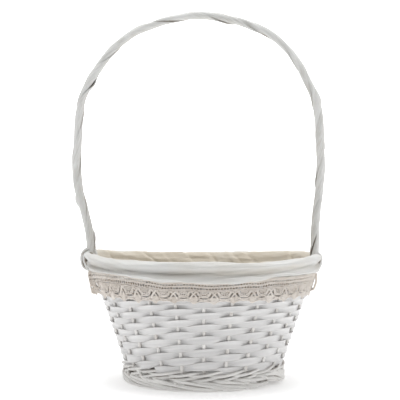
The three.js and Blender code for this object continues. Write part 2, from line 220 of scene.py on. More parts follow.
def strip_section(width, thickness, cup, across=9):
    """A flat strip's section, with thin edges. A positive cup brings the edges forward of the middle."""
    s = np.linspace(-1, 1, across)
    width, thickness, cup = (np.asarray(v, float).reshape(-1, 1) for v in (width, thickness, cup))
    bend = cup * (s**2 - 0.4)
    half = thickness / 2 * (1 - 0.55 * s**4)
    face = np.concatenate([bend + half, (bend - half)[:, ::-1]], 1)
    side = np.concatenate([s, s[::-1]]) * width / 2
    return np.stack(np.broadcast_arrays(side, face), -1)


class Shape:
    """Gathers swept parts into one named piece."""

    def __init__(self):
        self.points, self.faces, self.grain, self.tone, self.bare_and_shade = [], [], [], [], []
        self.count = 0

    def grid(self, points, along, across, wrap=True, loop=False, tone=0.0, bare_and_shade=0.0):
        """Adds a (stations, ring) grid of points. Wrapped rings close up, and a loop joins end to end."""
        stations, ring = points.shape[:2]
        number = self.count + np.arange(stations * ring).reshape(stations, ring)
        rows = np.concatenate([number, number[:1]]) if loop else number
        if wrap:
            rows = np.concatenate([rows, rows[:, :1]], 1)
        quads = np.stack([rows[:-1, :-1], rows[:-1, 1:], rows[1:, 1:], rows[1:, :-1]], -1).reshape(-1, 4)
        self.faces.extend(quads.tolist())
        flat = points.reshape(-1, 3)
        extra = np.zeros((0, 3))
        if wrap and not loop:
            extra = np.stack([points[0].mean(0), points[-1].mean(0)])
            first = self.count + stations * ring
            for k in range(ring):
                after = (k + 1) % ring
                self.faces.append([int(number[0, after]), int(number[0, k]), first])
                self.faces.append([int(number[-1, k]), int(number[-1, after]), first + 1])

        def for_each_point(values):
            spread = np.broadcast_to(np.asarray(values, float), (stations, ring)).reshape(-1)
            return np.concatenate([spread, spread[[0, -1]]]) if len(extra) else spread

        self.points.append(np.concatenate([flat, extra]))
        along = np.asarray(along, float).reshape(-1, 1)
        self.grain.append(np.stack([for_each_point(along), for_each_point(across)], -1))
        self.tone.append(for_each_point(tone))
        self.bare_and_shade.append(for_each_point(bare_and_shade))
        self.count += len(flat) + len(extra)

    def sweep(self, path, facing, section, loop=False, tone=0.0, bare_and_shade=0.0):
        """Adds a rod or strip: a section of (side, face) offsets carried along a path."""
        side, face = axes_of_loop(path, facing) if loop else axes(path, facing)
        section = np.broadcast_to(section, (len(path),) + section.shape[-2:])
        points = path[:, None] + section[..., :1] * side[:, None] + section[..., 1:] * face[:, None]
        edge = np.linalg.norm(np.diff(section[0], axis=0), axis=1)
        across = np.concatenate([[0], np.cumsum(edge)])
        self.grid(points, length_along(path), across, loop=loop, tone=tone, bare_and_shade=bare_and_shade)

    def build(self, name, slot, replaced=()):
        """Makes the piece, riding on the basket in place of the CAD nodes that it replaces."""
        mesh = bpy.data.meshes.new(name)
        mesh.from_pydata((np.concatenate(self.points) * MM).tolist(), [], self.faces)
        corners = np.empty(len(mesh.loops), np.int32)
        mesh.loops.foreach_get("vertex_index", corners)
        grain = np.concatenate(self.grain)[corners] * MM
        mesh.uv_layers.new(name="grain").data.foreach_set("uv", grain.astype(np.float32).ravel())
        # the first value varies each piece's colour; the second brings in unpainted brown and painted shade
        for label, values in (("tone", self.tone), ("bare_and_shade", self.bare_and_shade)):
            attribute = mesh.attributes.new(label, "FLOAT", "POINT")
            attribute.data.foreach_set("value", np.concatenate(values).astype(np.float32))
        mesh.polygons.foreach_set("use_smooth", [True] * len(mesh.polygons))
        mesh.materials.append(MATERIALS[slot])
        piece = bpy.data.objects.new(name, mesh)
        bpy.context.scene.collection.objects.link(piece)
        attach(piece, "root")
        if replaced:
            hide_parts(*replaced)
        return piece


# ---- Materials ----


class Nodes:
    """A short way to write a node material."""

    def __init__(self, name):
        self.material = bpy.data.materials.new(name)
        self.material.use_nodes = True
        self.tree = self.material.node_tree
        self.surface = self.tree.nodes["Principled BSDF"]

    def add(self, kind, **inputs):
        """A node, with its inputs set to constants or linked to other nodes' outputs."""
        node = self.tree.nodes.new("ShaderNode" + kind)
        for key, value in inputs.items():
            self.put(node, key, value)
        return node

    def put(self, node, key, value):
        """Sets an input (by name or number) or, where there is no such input, a property of the node."""
        name = key.replace("_", " ").title() if isinstance(key, str) else key
        if isinstance(key, str) and name not in node.inputs:
            setattr(node, key, value)
        elif isinstance(value, bpy.types.NodeSocket):
            self.tree.links.new(value, node.inputs[name])
        else:
            node.inputs[name].default_value = value

    def math(self, operation, a, b=0.0):
        """A sum done on numbers or on other nodes' outputs."""
        node = self.add("Math", operation=operation)
        for number, value in enumerate((a, b)):
            self.put(node, number, value)
        return node.outputs[0]

    def plus(self, a, b, share):
        """a, and a share of b."""
        return self.math("ADD", a, self.math("MULTIPLY", b, share))

    def wave(self, along, pitch):
        """A sine wave with a pitch in millimetres."""
        return self.math("SINE", self.math("MULTIPLY", along, 2 * math.pi / (pitch * MM)))

    def noise(self, vector, scale, detail=2.0, roughness=0.5):
        """Seeded noise from 0 to 1."""
        node = self.add("TexNoise", vector=vector, scale=scale, detail=detail, roughness=roughness)
        return node.outputs["Fac"]

    def stretched(self, vector, scale):
        """A texture place, scaled by a different amount along each axis."""
        return self.add("Mapping", vector=vector, scale=scale).outputs[0]

    def spread(self, value, low, high, bottom=0.0, top=1.0):
        """A value's range from low to high, spread out from bottom to top."""
        node = self.add("MapRange", value=value)
        for key, number in (("From Min", low), ("From Max", high), ("To Min", bottom), ("To Max", top)):
            node.inputs[key].default_value = number
        return node.outputs[0]

    def mix(self, amount, a, b):
        """A colour between a and b."""
        node = self.add("Mix", data_type="RGBA")
        self.put(node, 0, amount)
        for number, value in ((6, a), (7, b)):
            self.put(node, number, value if isinstance(value, bpy.types.NodeSocket) else (*value, 1))
        return node.outputs[2]

    def attribute(self, name):
        """A value that the mesh carries at each of its points."""
        return self.add("Attribute", attribute_name=name).outputs["Fac"]

    def bump(self, height, distance, strength=1.0, under=None):
        """A normal for a height, `distance` millimetres deep, on top of another bump."""
        node = self.add("Bump", height=height, distance=distance * MM, strength=strength)
        if under is not None:
            self.put(node, "normal", under)
        return node.outputs[0]

    def finish(self, colour, roughness, normal, sheen=0.0):
        """Sets the surface, and gives the finished material."""
        self.put(self.surface, "Base Color", colour)
        self.put(self.surface, "Roughness", roughness)
        self.put(self.surface, "Normal", normal)
        self.surface.inputs["Specular IOR Level"].default_value = 0.35
        if sheen:
            self.surface.inputs["Sheen Weight"].default_value = sheen
            self.surface.inputs["Sheen Roughness"].default_value = 0.6
        return self.material


def willow(name, paint, shade, wood, grain_depth, roughness):
    """Willow under thin white paint: lengthwise grain, uneven paint, and unpainted brown where the brush
    missed, which is also painted shade in recesses.
    """
    n = Nodes(name)
    grain_map = n.add("UVMap", uv_map="grain").outputs[0]
    place = n.add("NewGeometry").outputs["Position"]
    fibres = n.noise(n.stretched(grain_map, (70, 1900, 1)), 1.0, 3.0, 0.6)
    streaks = n.noise(n.stretched(grain_map, (25, 420, 1)), 1.0, 2.0)
    patches = n.noise(place, 60.0, 3.0)
    shaded = n.plus(n.spread(streaks, 0.3, 0.72, 0.0, 0.7), n.attribute("tone"), 0.35)
    shaded = n.math("ADD", shaded, n.spread(patches, 0.35, 0.7, -0.12, 0.22))
    colour = n.mix(n.add("Clamp", value=shaded).outputs[0], paint, shade)
    missed = n.spread(n.noise(n.stretched(grain_map, (120, 700, 1)), 1.0, 3.0), 0.42, 0.6)
    colour = n.mix(n.math("MULTIPLY", missed, n.attribute("bare_and_shade")), colour, wood)
    height = n.plus(fibres, streaks, 0.6)
    coarse = n.bump(n.noise(place, 400.0, 2.0), 0.12, 0.5)
    uneven_roughness = n.spread(fibres, 0.2, 0.8, roughness - 0.08, roughness + 0.1)
    return n.finish(colour, uneven_roughness, n.bump(height, grain_depth, 0.8, coarse))


def woven_cotton(name, light, shade, painted_shade, thread_pitch, depth):
    """Plain-woven cotton: warp and weft as fine bumps, with slubs and soft blotches; its shade colour and a
    near-black are painted shade in creases, hollows and on the inside.
    """
    n = Nodes(name)
    grain_map = n.add("UVMap", uv_map="grain").outputs[0]
    place = n.add("NewGeometry").outputs["Position"]
    parts = n.add("SeparateXYZ", vector=grain_map)
    warp, weft = (n.wave(along, thread_pitch) for along in parts.outputs[:2])
    weave = n.math("MULTIPLY", warp, weft)
    slubs = n.noise(n.stretched(grain_map, (60, 900, 1)), 1.0, 2.0)
    blotches = n.noise(place, 45.0, 3.0)
    amount = n.plus(n.spread(blotches, 0.3, 0.7, 0.0, 0.22), n.attribute("tone"), 0.9)
    colour = n.mix(n.add("Clamp", value=amount).outputs[0], light, shade)
    colour = n.mix(n.attribute("bare_and_shade"), colour, painted_shade)
    height = n.plus(slubs, weave, 0.5)
    return n.finish(colour, n.spread(slubs, 0.3, 0.7, 0.86, 0.97), n.bump(height, depth, 0.7), 0.25)


def lace_thread(name, light, shade, ply_pitch):
    """Twisted cotton yarn: the plies wind round each thread as fine ridges."""
    n = Nodes(name)
    grain_map = n.add("UVMap", uv_map="grain").outputs[0]
    place = n.add("NewGeometry").outputs["Position"]
    parts = n.add("SeparateXYZ", vector=grain_map)
    twist = n.math("ADD", parts.outputs[0], parts.outputs[1])
    plies = n.wave(twist, ply_pitch)
    blotches = n.noise(place, 90.0, 3.0)
    amount = n.plus(n.spread(blotches, 0.3, 0.7, 0.0, 0.6), n.attribute("tone"), 0.7)
    colour = n.mix(n.add("Clamp", value=amount).outputs[0], light, shade)
    fuzz = n.noise(place, 3500.0, 2.0)
    height = n.plus(fuzz, plies, 0.5)
    return n.finish(colour, n.spread(fuzz, 0.3, 0.7, 0.88, 0.98), n.bump(height, 0.12, 0.8), 0.3)


LOOKS = {
    # the slot, how its material is made, and the colours and measures that it is made with
    # each willow's third colour is unpainted wood, and also painted shade where the meshes mark recesses and
    # crevices
    "painted_split_willow": (willow, (0.73, 0.725, 0.72), (0.575, 0.57, 0.57), (0.42, 0.32, 0.22), 0.16, 0.5),
    "painted_willow_rod": (willow, (0.83, 0.82, 0.80), (0.62, 0.61, 0.59), (0.27, 0.18, 0.11), 0.14, 0.55),
    "handle_willow": (willow, (0.72, 0.725, 0.715), (0.55, 0.555, 0.54), (0.30, 0.22, 0.15), 0.2, 0.5),
    # the liner's cream is partly the cloth's own colour and partly painted shade inside the basket; its
    # near-black is painted shade
    "liner_cotton": (woven_cotton, (0.665, 0.665, 0.65), (0.60, 0.545, 0.455), (0.12, 0.11, 0.10), 0.45, 0.10),
    "lace_cotton": (lace_thread, (0.82, 0.765, 0.71), (0.62, 0.55, 0.48), 0.9),
}
MATERIALS = {slot: make(slot, *measures) for slot, (make, *measures) in LOOKS.items()}

# ---- Wall: split-willow strips woven round the stakes ----

STRIP_THICKNESS = 1.0
STRIP_SWING = 1.45
STRIP_PROUD = 0.3  # the strips lie a little outside the middle of the stakes
STRIP_CUP = 1.0
STRIP_SETTLE = 0.6  # a strip rides up on the stakes that it passes outside, and settles behind the others
STRIP_LEAN = math.radians(5)  # each strip's lower edge stands proud of the strip below it
STRIP_STEPS = 10  # stations from one stake to the next
GRAIN_APART = 400  # how far along the grain each row starts after the last, so that no two look alike
STRIP_SEEDS = 531
SEEDS_PER_KIND = 30  # each kind of unevenness has a seed of its own for every row or stake
FLOAT_SHARE = 1.24  # a strip's width on a stake, in row pitches
CROSSING_SHARE = 0.96  # and where it crosses from outside to inside
ROW_PACKING = 0.0925  # the rows are packed closer as they rise
LOWEST_ROW_PITCH = 6.75
FIRST_ROW_DROP = 0.9  # the first row lies this far below the middle of the first CAD weaver
LOWEST_ROW = -2
HIGHEST_ROW = 17
WEAVE_LOW = 17.0
WEAVE_HIGH = 104.0
LACE_SHADOW_HEIGHTS = (87, 94)  # painted shade: above these heights the strips take the unpainted brown, where the lace hides them, so its holes look dark

# How far a row has climbed, in rows, at angles from the front. A row comes round to meet the row two above it.
CLIMB = [(-90, -2.02), (-60, -1.82), (-45, -1.40), (-30, -0.79), (-15, -0.38), (0, 0.0), (15, 0.23)]
CLIMB += [(30, 0.41), (45, 0.50), (60, 0.41), (90, 0.20), (180, 0.05), (270, -0.02)]


def climb(angle):
    """The rows' climb at an angle from -90 to 270, softened between the measured places."""
    places, values = zip(*CLIMB)
    nearby = [np.interp(angle + shift, places, values) for shift in (-8, -4, 0, 4, 8)]
    return np.average(nearby, axis=0, weights=(1, 2, 3, 2, 1))


def row_height(row, angle):
    """The height of the middle of a row of the weave."""
    place = row + climb(angle)
    return FIRST_ROW - FIRST_ROW_DROP + LOWEST_ROW_PITCH * place - ROW_PACKING * place**2


def row_pitch(row, angle):
    """How far apart the rows are there."""
    return LOWEST_ROW_PITCH - 2 * ROW_PACKING * (row + climb(angle))


def weave_row(row):
    """One turn of a strip, from the left of the basket round to where the row two above takes over."""
    first = LEFT - STAKE_STEP * ((row + 1) % 2)
    angle = np.linspace(first, first + 360, len(STAKES) * STRIP_STEPS + 1)
    height = row_height(row, np.clip(angle, LEFT, LEFT + 360))
    used = (height > WEAVE_LOW) & (height < WEAVE_HIGH)
    if used.sum() < 2 * STRIP_STEPS:
        return None
    angle, height = angle[used], height[used]
    stake = angle / STAKE_STEP
    swing = np.cos(np.pi * (stake + row))

    def uneven(kind, wavelength):
        return wander(stake, wavelength, STRIP_SEEDS + SEEDS_PER_KIND * kind + row)

    float_width = row_pitch(row, angle) * (FLOAT_SHARE + 0.08 * uneven(0, 1.0))
    crossing_width = row_pitch(row, angle) * CROSSING_SHARE
    width = crossing_width + (float_width - crossing_width) * np.clip(0.15 + swing, 0, 1)
    out = STRIP_PROUD + STRIP_SWING * swing + 0.25 * uneven(1, 0.8)
    lean = STRIP_LEAN * (1 + 0.8 * uneven(2, 1.3))
    lift = 0.3 * uneven(3, 1.1) + STRIP_SETTLE * swing
    section = strip_section(width, STRIP_THICKNESS, STRIP_CUP * (1 + 0.4 * uneven(4, 1.0)))
    up, face = section[..., 0], section[..., 1]
    forward = face - up * np.tan(lean)[:, None] + out[:, None]
    points = wall(angle[:, None], height[:, None], forward, up + lift[:, None])
    along = length_along(points[:, 0]) + GRAIN_APART * row
    at_edge = np.abs(up) > width[:, None] * 0.45
    # Painted shade in the unpainted brown where a strip passes behind the stakes and behind the lace, and a
    # little brown along its edges
    bare_and_shade = 0.25 * smooth(-out, 0.9, 1.8)[:, None] + 0.15 * at_edge + 1.3 * smooth(height, *LACE_SHADOW_HEIGHTS)[:, None]
    shape = Shape()
    shape.grid(points, along, length_along(section[0]), tone=0.5 * uneven(5, 2.0)[:, None], bare_and_shade=bare_and_shade)
    return shape


for row in range(LOWEST_ROW, HIGHEST_ROW + 1):
    made = weave_row(row)
    if made:
        stood_for = [name for number, name in enumerate(WEAVERS) if number == row]
        made.build(f"weave_strip_{row - LOWEST_ROW + 1:02d}", "painted_split_willow", stood_for)

# Stakes: smooth rods, a little flattened, bent and uneven.
STAKE_HALF_WIDTH = 1.7
STAKE_FLATNESS = 0.75
STAKE_STATIONS = 40
STAKE_SEEDS = 211

for number, (name, (foot, top)) in enumerate(zip(STAKES, stake_ends)):
    t = np.linspace(0, 1, STAKE_STATIONS)
    seed = STAKE_SEEDS + number
    path = foot + (top - foot) * t[:, None]
    outward = directions(np.degrees(math.atan2(foot[0], -foot[1])))
    path = path + outward * (0.25 * wander(t, 0.3, seed))[:, None]
    radius = STAKE_HALF_WIDTH * (1 + 0.08 * wander(t, 0.15, seed + SEEDS_PER_KIND))
    section = round_section(radius, 12) * (1, STAKE_FLATNESS)
    stake = Shape()
    bare_and_shade = 0.15 + 0.25 * wander(t, 0.1, seed + 2 * SEEDS_PER_KIND)[:, None]
    stake.sweep(path, outward, section, bare_and_shade=bare_and_shade, tone=0.2 * wander(number, 1, 5) - 0.4)
    stake.build(name.replace("stake", "wall_stake"), "painted_willow_rod", [name])

# ---- Waling and foot: rods that hug the stakes above the foot and at the rim, and a rolled border ----

WALE_RADIUS = 1.5
WALE_ROUNDS = (12.4, 16.6)
WALE_RODS = 3
WALE_STATIONS = 480
WALE_SEEDS = 300
RIM_ROUNDS = (106.0, 109.6, 113.2)
RIM_SEEDS = 700
BORDER_RODS = 24
BORDER_ROD_RADIUS = 1.75
BORDER_ROD_SPAN = 66  # degrees that each rod of the rolled border runs round the foot
BORDER_STEP_ANGLE = 56  # here the border's lowest rods end, and it stands a step off the table
BORDER_STEP = 3.6
BORDER_STEP_WIDTH = 26
BORDER_TOP = 10.4
BORDER_FALL = 8.6  # from a rod's upper end to its lower one
BORDER_SEEDS = 400


def hidden_side(section, radius):
    """How much unpainted brown a round rod takes at each point of its section: on the side turned away from the
    brush and into the crevice, where it is painted shade as well as unpainted wood.
    """
    return smooth(-section[..., 1] / np.asarray(radius, float).reshape(-1, 1), -0.5, 0.5)


def wale_rod(shape, height, number, seed, lean_out, swing, rise):
    """A waling rod: outside two stakes, inside one, climbing as it passes the outside."""
    angle = np.linspace(0, 360, WALE_STATIONS, endpoint=False)
    phase = 2 * np.pi * (angle / STAKE_STEP + number) / WALE_RODS
    out = lean_out + swing * np.cos(phase) + 0.3 * wander(angle, 20, seed, 360)
    level = height + rise * np.sin(phase) + 0.5 * wander(angle, 30, seed + 1, 360)
    radius = WALE_RADIUS * (1 + 0.14 * wander(angle, 14, seed + 2, 360))
    section = round_section(radius)
    bare_and_shade = hidden_side(section, radius) * (0.7 + 0.3 * wander(angle, 12, seed + 3, 360)[:, None])
    path = wall(angle, level, out)
    tone = 0.6 * wander(angle, 40, seed + 4, 360)[:, None]
    shape.sweep(path, wall_outward(angle), section, loop=True, bare_and_shade=bare_and_shade, tone=tone)


def waling(rounds, seeds, **rod):
    """Rounds of waling, one above the other, each of several rods."""
    shape = Shape()
    for level, height in enumerate(rounds):
        for number in range(WALE_RODS):
            wale_rod(shape, height, number, seeds + 20 * level + 5 * number, **rod)
    return shape


foot_waling = waling(WALE_ROUNDS, WALE_SEEDS, lean_out=0.7, swing=3.0, rise=1.6)
foot_waling.build("foot_waling", "painted_willow_rod", ["foot_wale"])

border = Shape()
for number in range(BORDER_RODS):
    seed = BORDER_SEEDS + 10 * number
    t = np.linspace(0, 1, 60)
    span = BORDER_ROD_SPAN * (1 + 0.18 * wander(number, 1, 11))
    angle = 360 * number / BORDER_RODS + span * t
    height = BORDER_TOP - BORDER_FALL * smooth(t, 0.0, 0.95) + 0.8 * wander(t, 0.24, seed)
    height = height + BORDER_STEP * near(angle, BORDER_STEP_ANGLE, BORDER_STEP_WIDTH)
    tucked = 7.5 * (1 - smooth(t, 0, 0.22)) + 6.0 * smooth(t, 0.8, 1.0)
    radius_here = FOOT_OUTER - BORDER_ROD_RADIUS - 0.4 - tucked + 0.6 * wander(t, 0.25, seed + 1)
    thickness = BORDER_ROD_RADIUS * (1.05 - 0.25 * t) * (1 + 0.1 * wander(t, 0.2, seed + 2))
    height = np.maximum(height, thickness)  # none goes through the table
    section = round_section(thickness)
    bare_and_shade = hidden_side(section, thickness) * (0.8 + 0.2 * wander(t, 0.15, seed + 3)[:, None])
    tone = 0.6 * wander(t, 0.5, seed + 4)[:, None]
    border.sweep(at(angle, radius_here, height), directions(angle), section, bare_and_shade=bare_and_shade, tone=tone)
border.build("foot_rolled_border", "painted_willow_rod", ["foot_border"])

# The butts and tips of the waling rods, cut off at a slant and left standing a little proud.
ROD_ENDS = [
    # [angle from the front, height, how far the rod's other end is above this one, radius]
    *[(32, 9.6, -2.2, 2.1), (34, 5.6, -1.8, 2.3), (61, 8.2, -1.6, 2.3), (47, 12.8, -1.8, 1.8)],
    *[(-46, 15.0, 2.6, 1.4), (-63, 12.5, 2.0, 1.6), (3, 7.0, -1.5, 1.6), (-18, 9.0, -1.2, 1.5)],
    *[(71, 14.0, -1.6, 1.8), (112, 12.0, 1.5, 1.7), (150, 10.0, -2.0, 2.0), (196, 13.0, 1.6, 1.6)],
    (238, 11.0, -1.4, 1.9),
]
ROD_END_SPAN = 17  # degrees
ROD_END_OUT = (0.6, 6.4)  # where the rod starts, outside the stakes' cone, and how much further its end stands
CUT_FACE = 0.97  # the cut face starts this far along the rod
cut_ends = Shape()
for place, height, rise, radius in ROD_ENDS:
    t = np.linspace(0, 1, 16)
    path = wall(place - ROD_END_SPAN * (1 - t), height + rise * (1 - t), ROD_END_OUT[0] + ROD_END_OUT[1] * t**3)
    section = round_section(radius * (0.85 + 0.15 * t), 10)
    cut_ends.sweep(path, wall_outward(place), section, bare_and_shade=0.35 * (t[:, None] > CUT_FACE), tone=-0.5)
cut_ends.build("foot_rod_ends", "painted_willow_rod")

# The same waling closes the top of the wall, inside the cuff.
rim = waling(RIM_ROUNDS, RIM_SEEDS, lean_out=0.0, swing=2.4, rise=1.2)
rim.build("rim_waling", "painted_willow_rod", ["rim_border"])

# ---- Base: a cross of sticks opened out to spokes, with rods woven round them ----

SPLIT_STICKS = nodes_named("base_split_stick_")
THREADED_STICKS = nodes_named("base_threaded_stick_")
BASE_BANDS = nodes_named("base_band_")
BASE_SPOKES = 2 * (len(SPLIT_STICKS) + len(THREADED_STICKS))
BASE_HEIGHT = sum(heights(SPLIT_STICKS[0])) / 2
SPOKE_ANGLE = 2 * math.pi / BASE_SPOKES
STICK_REACH = 71.2
STICK_HALF_WIDTH = 2.1
SPLIT_STICK_DEPTH = 4.2
THREADED_STICK_DEPTH = 2.2
STICK_STATIONS = 90
BUNDLE_REACH = 10.0
BUNDLE_SPACING = 5.0
SPREAD_RADIUS = 21  # where the sticks have opened out to their spokes
BASE_ROD_RADIUS = 1.25
BASE_FIRST_WINDING = 22.0
BASE_LAST_WINDING = 71.0
BASE_SEEDS = 800


def base_stick(name, number, along, across, depth):
    """A stick of the base: side by side with two others through the middle, then opened out as a spoke."""
    lane = number - 1
    turn = lane * SPOKE_ANGLE
    half = [
        (BUNDLE_REACH, lane * BUNDLE_SPACING),
        (SPREAD_RADIUS * math.cos(turn), SPREAD_RADIUS * math.sin(turn)),
        (STICK_REACH * math.cos(turn), STICK_REACH * math.sin(turn)),
    ]
    flat = spline([(-x, y) for x, y in reversed(half)] + half, STICK_STATIONS)
    path = flat[:, :1] * along + flat[:, 1:] * across + UPRIGHT * BASE_HEIGHT
    stick = Shape()
    section = round_section(1.0, 10) * np.array([STICK_HALF_WIDTH, depth / 2])
    bare_and_shade = 0.55 + 0.3 * wander(np.arange(STICK_STATIONS), 12, BASE_SEEDS + number)[:, None]
    stick.sweep(path, UPRIGHT, section, bare_and_shade=bare_and_shade)
    stick.build(name.replace("base", "cross"), "painted_willow_rod", [name])


for number, name in enumerate(SPLIT_STICKS):
    base_stick(name, number, EAST, NORTH, SPLIT_STICK_DEPTH)
for number, name in enumerate(THREADED_STICKS):
    base_stick(name, number, NORTH, -EAST, THREADED_STICK_DEPTH)

# Two rods wind outwards together, one over each spoke where the other is under it.
BASE_WEAVE_PITCH = 2 * BASE_ROD_RADIUS + 0.15  # from one rod to the other
BASE_WEAVE_STEPS = 144  # stations in each turn
BASE_WEAVE_SWING = SPLIT_STICK_DEPTH / 2 + BASE_ROD_RADIUS
BASE_WEAVE_SEEDS = 820
windings = (BASE_LAST_WINDING - BASE_FIRST_WINDING) / (2 * BASE_WEAVE_PITCH)
turned = np.linspace(0, 360 * windings, int(windings * BASE_WEAVE_STEPS))
base_weave = Shape()
for number in range(2):
    radius_here = BASE_FIRST_WINDING + (BASE_LAST_WINDING - BASE_FIRST_WINDING) * turned / turned[-1]
    radius_here = radius_here + number * BASE_WEAVE_PITCH
    wave = np.cos(np.radians(turned) * BASE_SPOKES / 2 + np.pi * number)
    height = BASE_HEIGHT + BASE_WEAVE_SWING * np.clip(1.2 * wave, -1, 1)
    path = at(turned + RIGHT, radius_here, height)
    radius = BASE_ROD_RADIUS * (1 + 0.1 * wander(turned, 25, BASE_WEAVE_SEEDS + number))
    bare_and_shade = 0.6 + 0.35 * wander(turned, 20, BASE_WEAVE_SEEDS + 2 + number)[:, None]
    base_weave.sweep(path, UPRIGHT, round_section(radius, 7), bare_and_shade=bare_and_shade)
base_weave.build("base_weave", "painted_willow_rod", BASE_BANDS)

# ---- Handle: a core bow roped with two wide strips of split willow ----

HANDLE_STATIONS = 900
HOOP_LEAN = 4.7  # how far the hoop sags to the left
LEAN_SETS_IN = (118, 200)  # heights
LEAN_EASES = (285, 345)
LEAN_EASED = 0.45  # the share of the lean that is gone at the crown
LEGS_MEET_PLANE = (111, 170)  # the legs start beside a stake, and reach the hoop's plane between these heights
CORE_RADIUS = 2.2
STRANDS = 2
STRAND_RADIUS = 4.35
STRAND_THICKNESS = 1.3
STRAND_PITCH = 82.0
STRAND_WRAP = 100.0  # degrees that a strip reaches each way round the core
STRAND_TUCK = 0.9  # how far the covered edge lies under the other strip
CROWN_THINNING = 0.12
CROWN_THINS = (250, 350)
STRAND_SEEDS = 520

# The right half of the hoop from the rim to the crown, as [distance from the middle, height].
HOOP_HALF = [(109.0, 111), (110.6, 123), (111.8, 135.5), (113.2, 151.5), (115.8, 167.5), (119.0, 183.5)]
HOOP_HALF += [(121.0, 199.5), (121.6, 215.5), (120.8, 231.5), (120.2, 247.5), (118.8, 263.5), (116.0, 279.5)]
HOOP_HALF += [(108.4, 295.5), (99.0, 311.5), (87.2, 327.0), (69.0, 342.5), (50.0, 351.2), (30.0, 357.2)]
CROWN = (0, 361.5)

leg_beside = rod_ends("handle_bow")[0][1]
half_hoop = np.array(HOOP_HALF)
hoop = np.concatenate([half_hoop * (-1, 1), [CROWN], half_hoop[::-1]])
hoop_points = np.stack([hoop[:, 0], np.zeros(len(hoop)), hoop[:, 1]], -1)
lean_here = smooth(hoop[:, 1], *LEAN_SETS_IN) * (1 - LEAN_EASED * smooth(hoop[:, 1], *LEAN_EASES))
hoop_points[:, 0] -= HOOP_LEAN * lean_here
hoop_points[:, 1] += leg_beside * (1 - smooth(hoop[:, 1], *LEGS_MEET_PLANE))
handle_path = spline(hoop_points, HANDLE_STATIONS)
handle_length = length_along(handle_path)
handle_inward = axes(handle_path, NORTH)[0]

handle = Shape()
# The core is mostly unpainted brown. It is seen only in the gaps between the strips, where it is painted shade
# as well.
handle.sweep(handle_path, NORTH, round_section(CORE_RADIUS, 10), bare_and_shade=0.9)
handle.build("handle_core", "handle_willow", ["handle_bow"])


def wrapped_strip(radius, open_edge, thickness, across=13):
    """A strip's section, curled round a core. One edge tucks under and the other lies over its neighbour."""
    s = np.linspace(-1, 1, across)
    turn = np.radians(STRAND_WRAP) * s
    outer = radius[:, None] + open_edge[:, None] * smooth(s, 0.3, 1.0) - STRAND_TUCK * smooth(-s, 0.3, 1.0)
    outer = np.concatenate([outer, (outer - thickness)[:, ::-1]], 1)
    turn = np.concatenate([turn, turn[::-1]])
    return np.stack([outer * np.sin(turn), outer * np.cos(turn)], -1)


for number in range(STRANDS):
    seed = STRAND_SEEDS + 20 * number
    turn = 2 * np.pi * (handle_length / STRAND_PITCH + number / STRANDS) + 0.6 * wander(handle_length, 90, seed)
    facing = handle_inward * np.cos(turn)[:, None] + NORTH * np.sin(turn)[:, None]
    slimness = 1 - CROWN_THINNING * smooth(handle_path[:, 2], *CROWN_THINS)
    radius = STRAND_RADIUS * slimness * (1 + 0.1 * wander(handle_length, 22, seed + 1))
    open_edge = 0.2 + 2.0 * np.clip(wander(handle_length, 17, seed + 2), 0, 1) ** 2
    section = wrapped_strip(radius, open_edge, STRAND_THICKNESS)
    inside = np.arange(section.shape[1]) >= section.shape[1] // 2
    # each strip's underside is unpainted brown, and it is painted shade as well where it shows at the lifted
    # edge
    bare_and_shade = 0.12 + 0.1 * wander(handle_length, 25, seed + 3)[:, None] + 0.8 * inside[None]
    tone = 0.8 * wander(handle_length, 60, seed + 4)[:, None]
    strand = Shape()
    strand.sweep(handle_path, facing, section, bare_and_shade=bare_and_shade, tone=tone)
    stood_for = [f"handle_rope_strip_{number + 1:02d}"]
    strand.build(f"handle_strand_{number + 1}", "handle_willow", stood_for)

# ---- Cuff: the liner turned over the rim and padded out ----

CUFF_PROFILE = [
    # [square to the wall, along it] from the rim's middle: the outside, the inside, and the way back under it
    *[(7.2, -6.8), (8.3, -3.6), (7.6, -0.2), (6.0, 3.2), (5.6, 6.2), (6.2, 8.8), (4.4, 10.8), (0.8, 11.2)],
    *[(-3.4, 9.6), (-5.6, 5.2), (-5.9, -1.0), (-5.7, -7.5), (-4.6, -10.0)],
    *[(-3.6, -8.0), (3.6, -7.8)],
]
CUFF_STEPS = 1080
CUFF_RING = 64
CUFF_EDGE = [
    # the height of the cuff's wavy lower edge, at angles from the front: left, front, right, back
    *[(-110, 107.0), (-90, 108.5), (-70, 109.6), (-51, 110.6), (-40, 110.0), (-32, 108.0), (-26, 106.6)],
    *[(-20, 103.8), (-7, 104.8), (2, 103.3), (16, 104.2), (22, 106.1), (27, 104.4), (33, 107.2)],
    *[(56, 107.0), (75, 108.2), (90, 108.5), (110, 106.5)],
    *[(150, 104.0), (200, 104.6), (250, 107.0)],
]
LEVEL_EDGE = 102.6
LEG_RISE = {LEFT: 7.0, RIGHT: 5.5}  # the handle's legs pull the rim up beside them
LEG_RISE_POWER = 4.2  # the higher, the closer to the legs the rim is pulled up
PINCH = 3.8  # the bindings press the cuff in beside the legs
PINCH_WIDTH = 24.0
SLIT_ANGLES = (-55, 56)
SLIT_DEPTH = 3.0
HOLLOW_HEIGHT = 4.6  # a soft hollow runs along the outside, this far above the rim's middle
HOLLOW_WIDTH = 3.0
PLEATS = (118, 134, 149, 158, 173, 187, 200, 211, 228, 243, 318, 347, 22)  # folds of the cloth over the rim
PLEAT_SLANT = 0.45  # degrees round the rim for each millimetre up
CUFF_SEEDS = 640


def cuff_edge(angle):
    """The height of the cuff's lower edge, softened between the measured places."""
    places, values = zip(*CUFF_EDGE)
    wrapped = (np.asarray(angle, float) - places[0]) % 360 + places[0]
    nearby = [np.interp(wrapped + shift, places, values, period=360) for shift in (-3, 0, 3)]
    return np.average(nearby, axis=0, weights=(1, 2, 1))


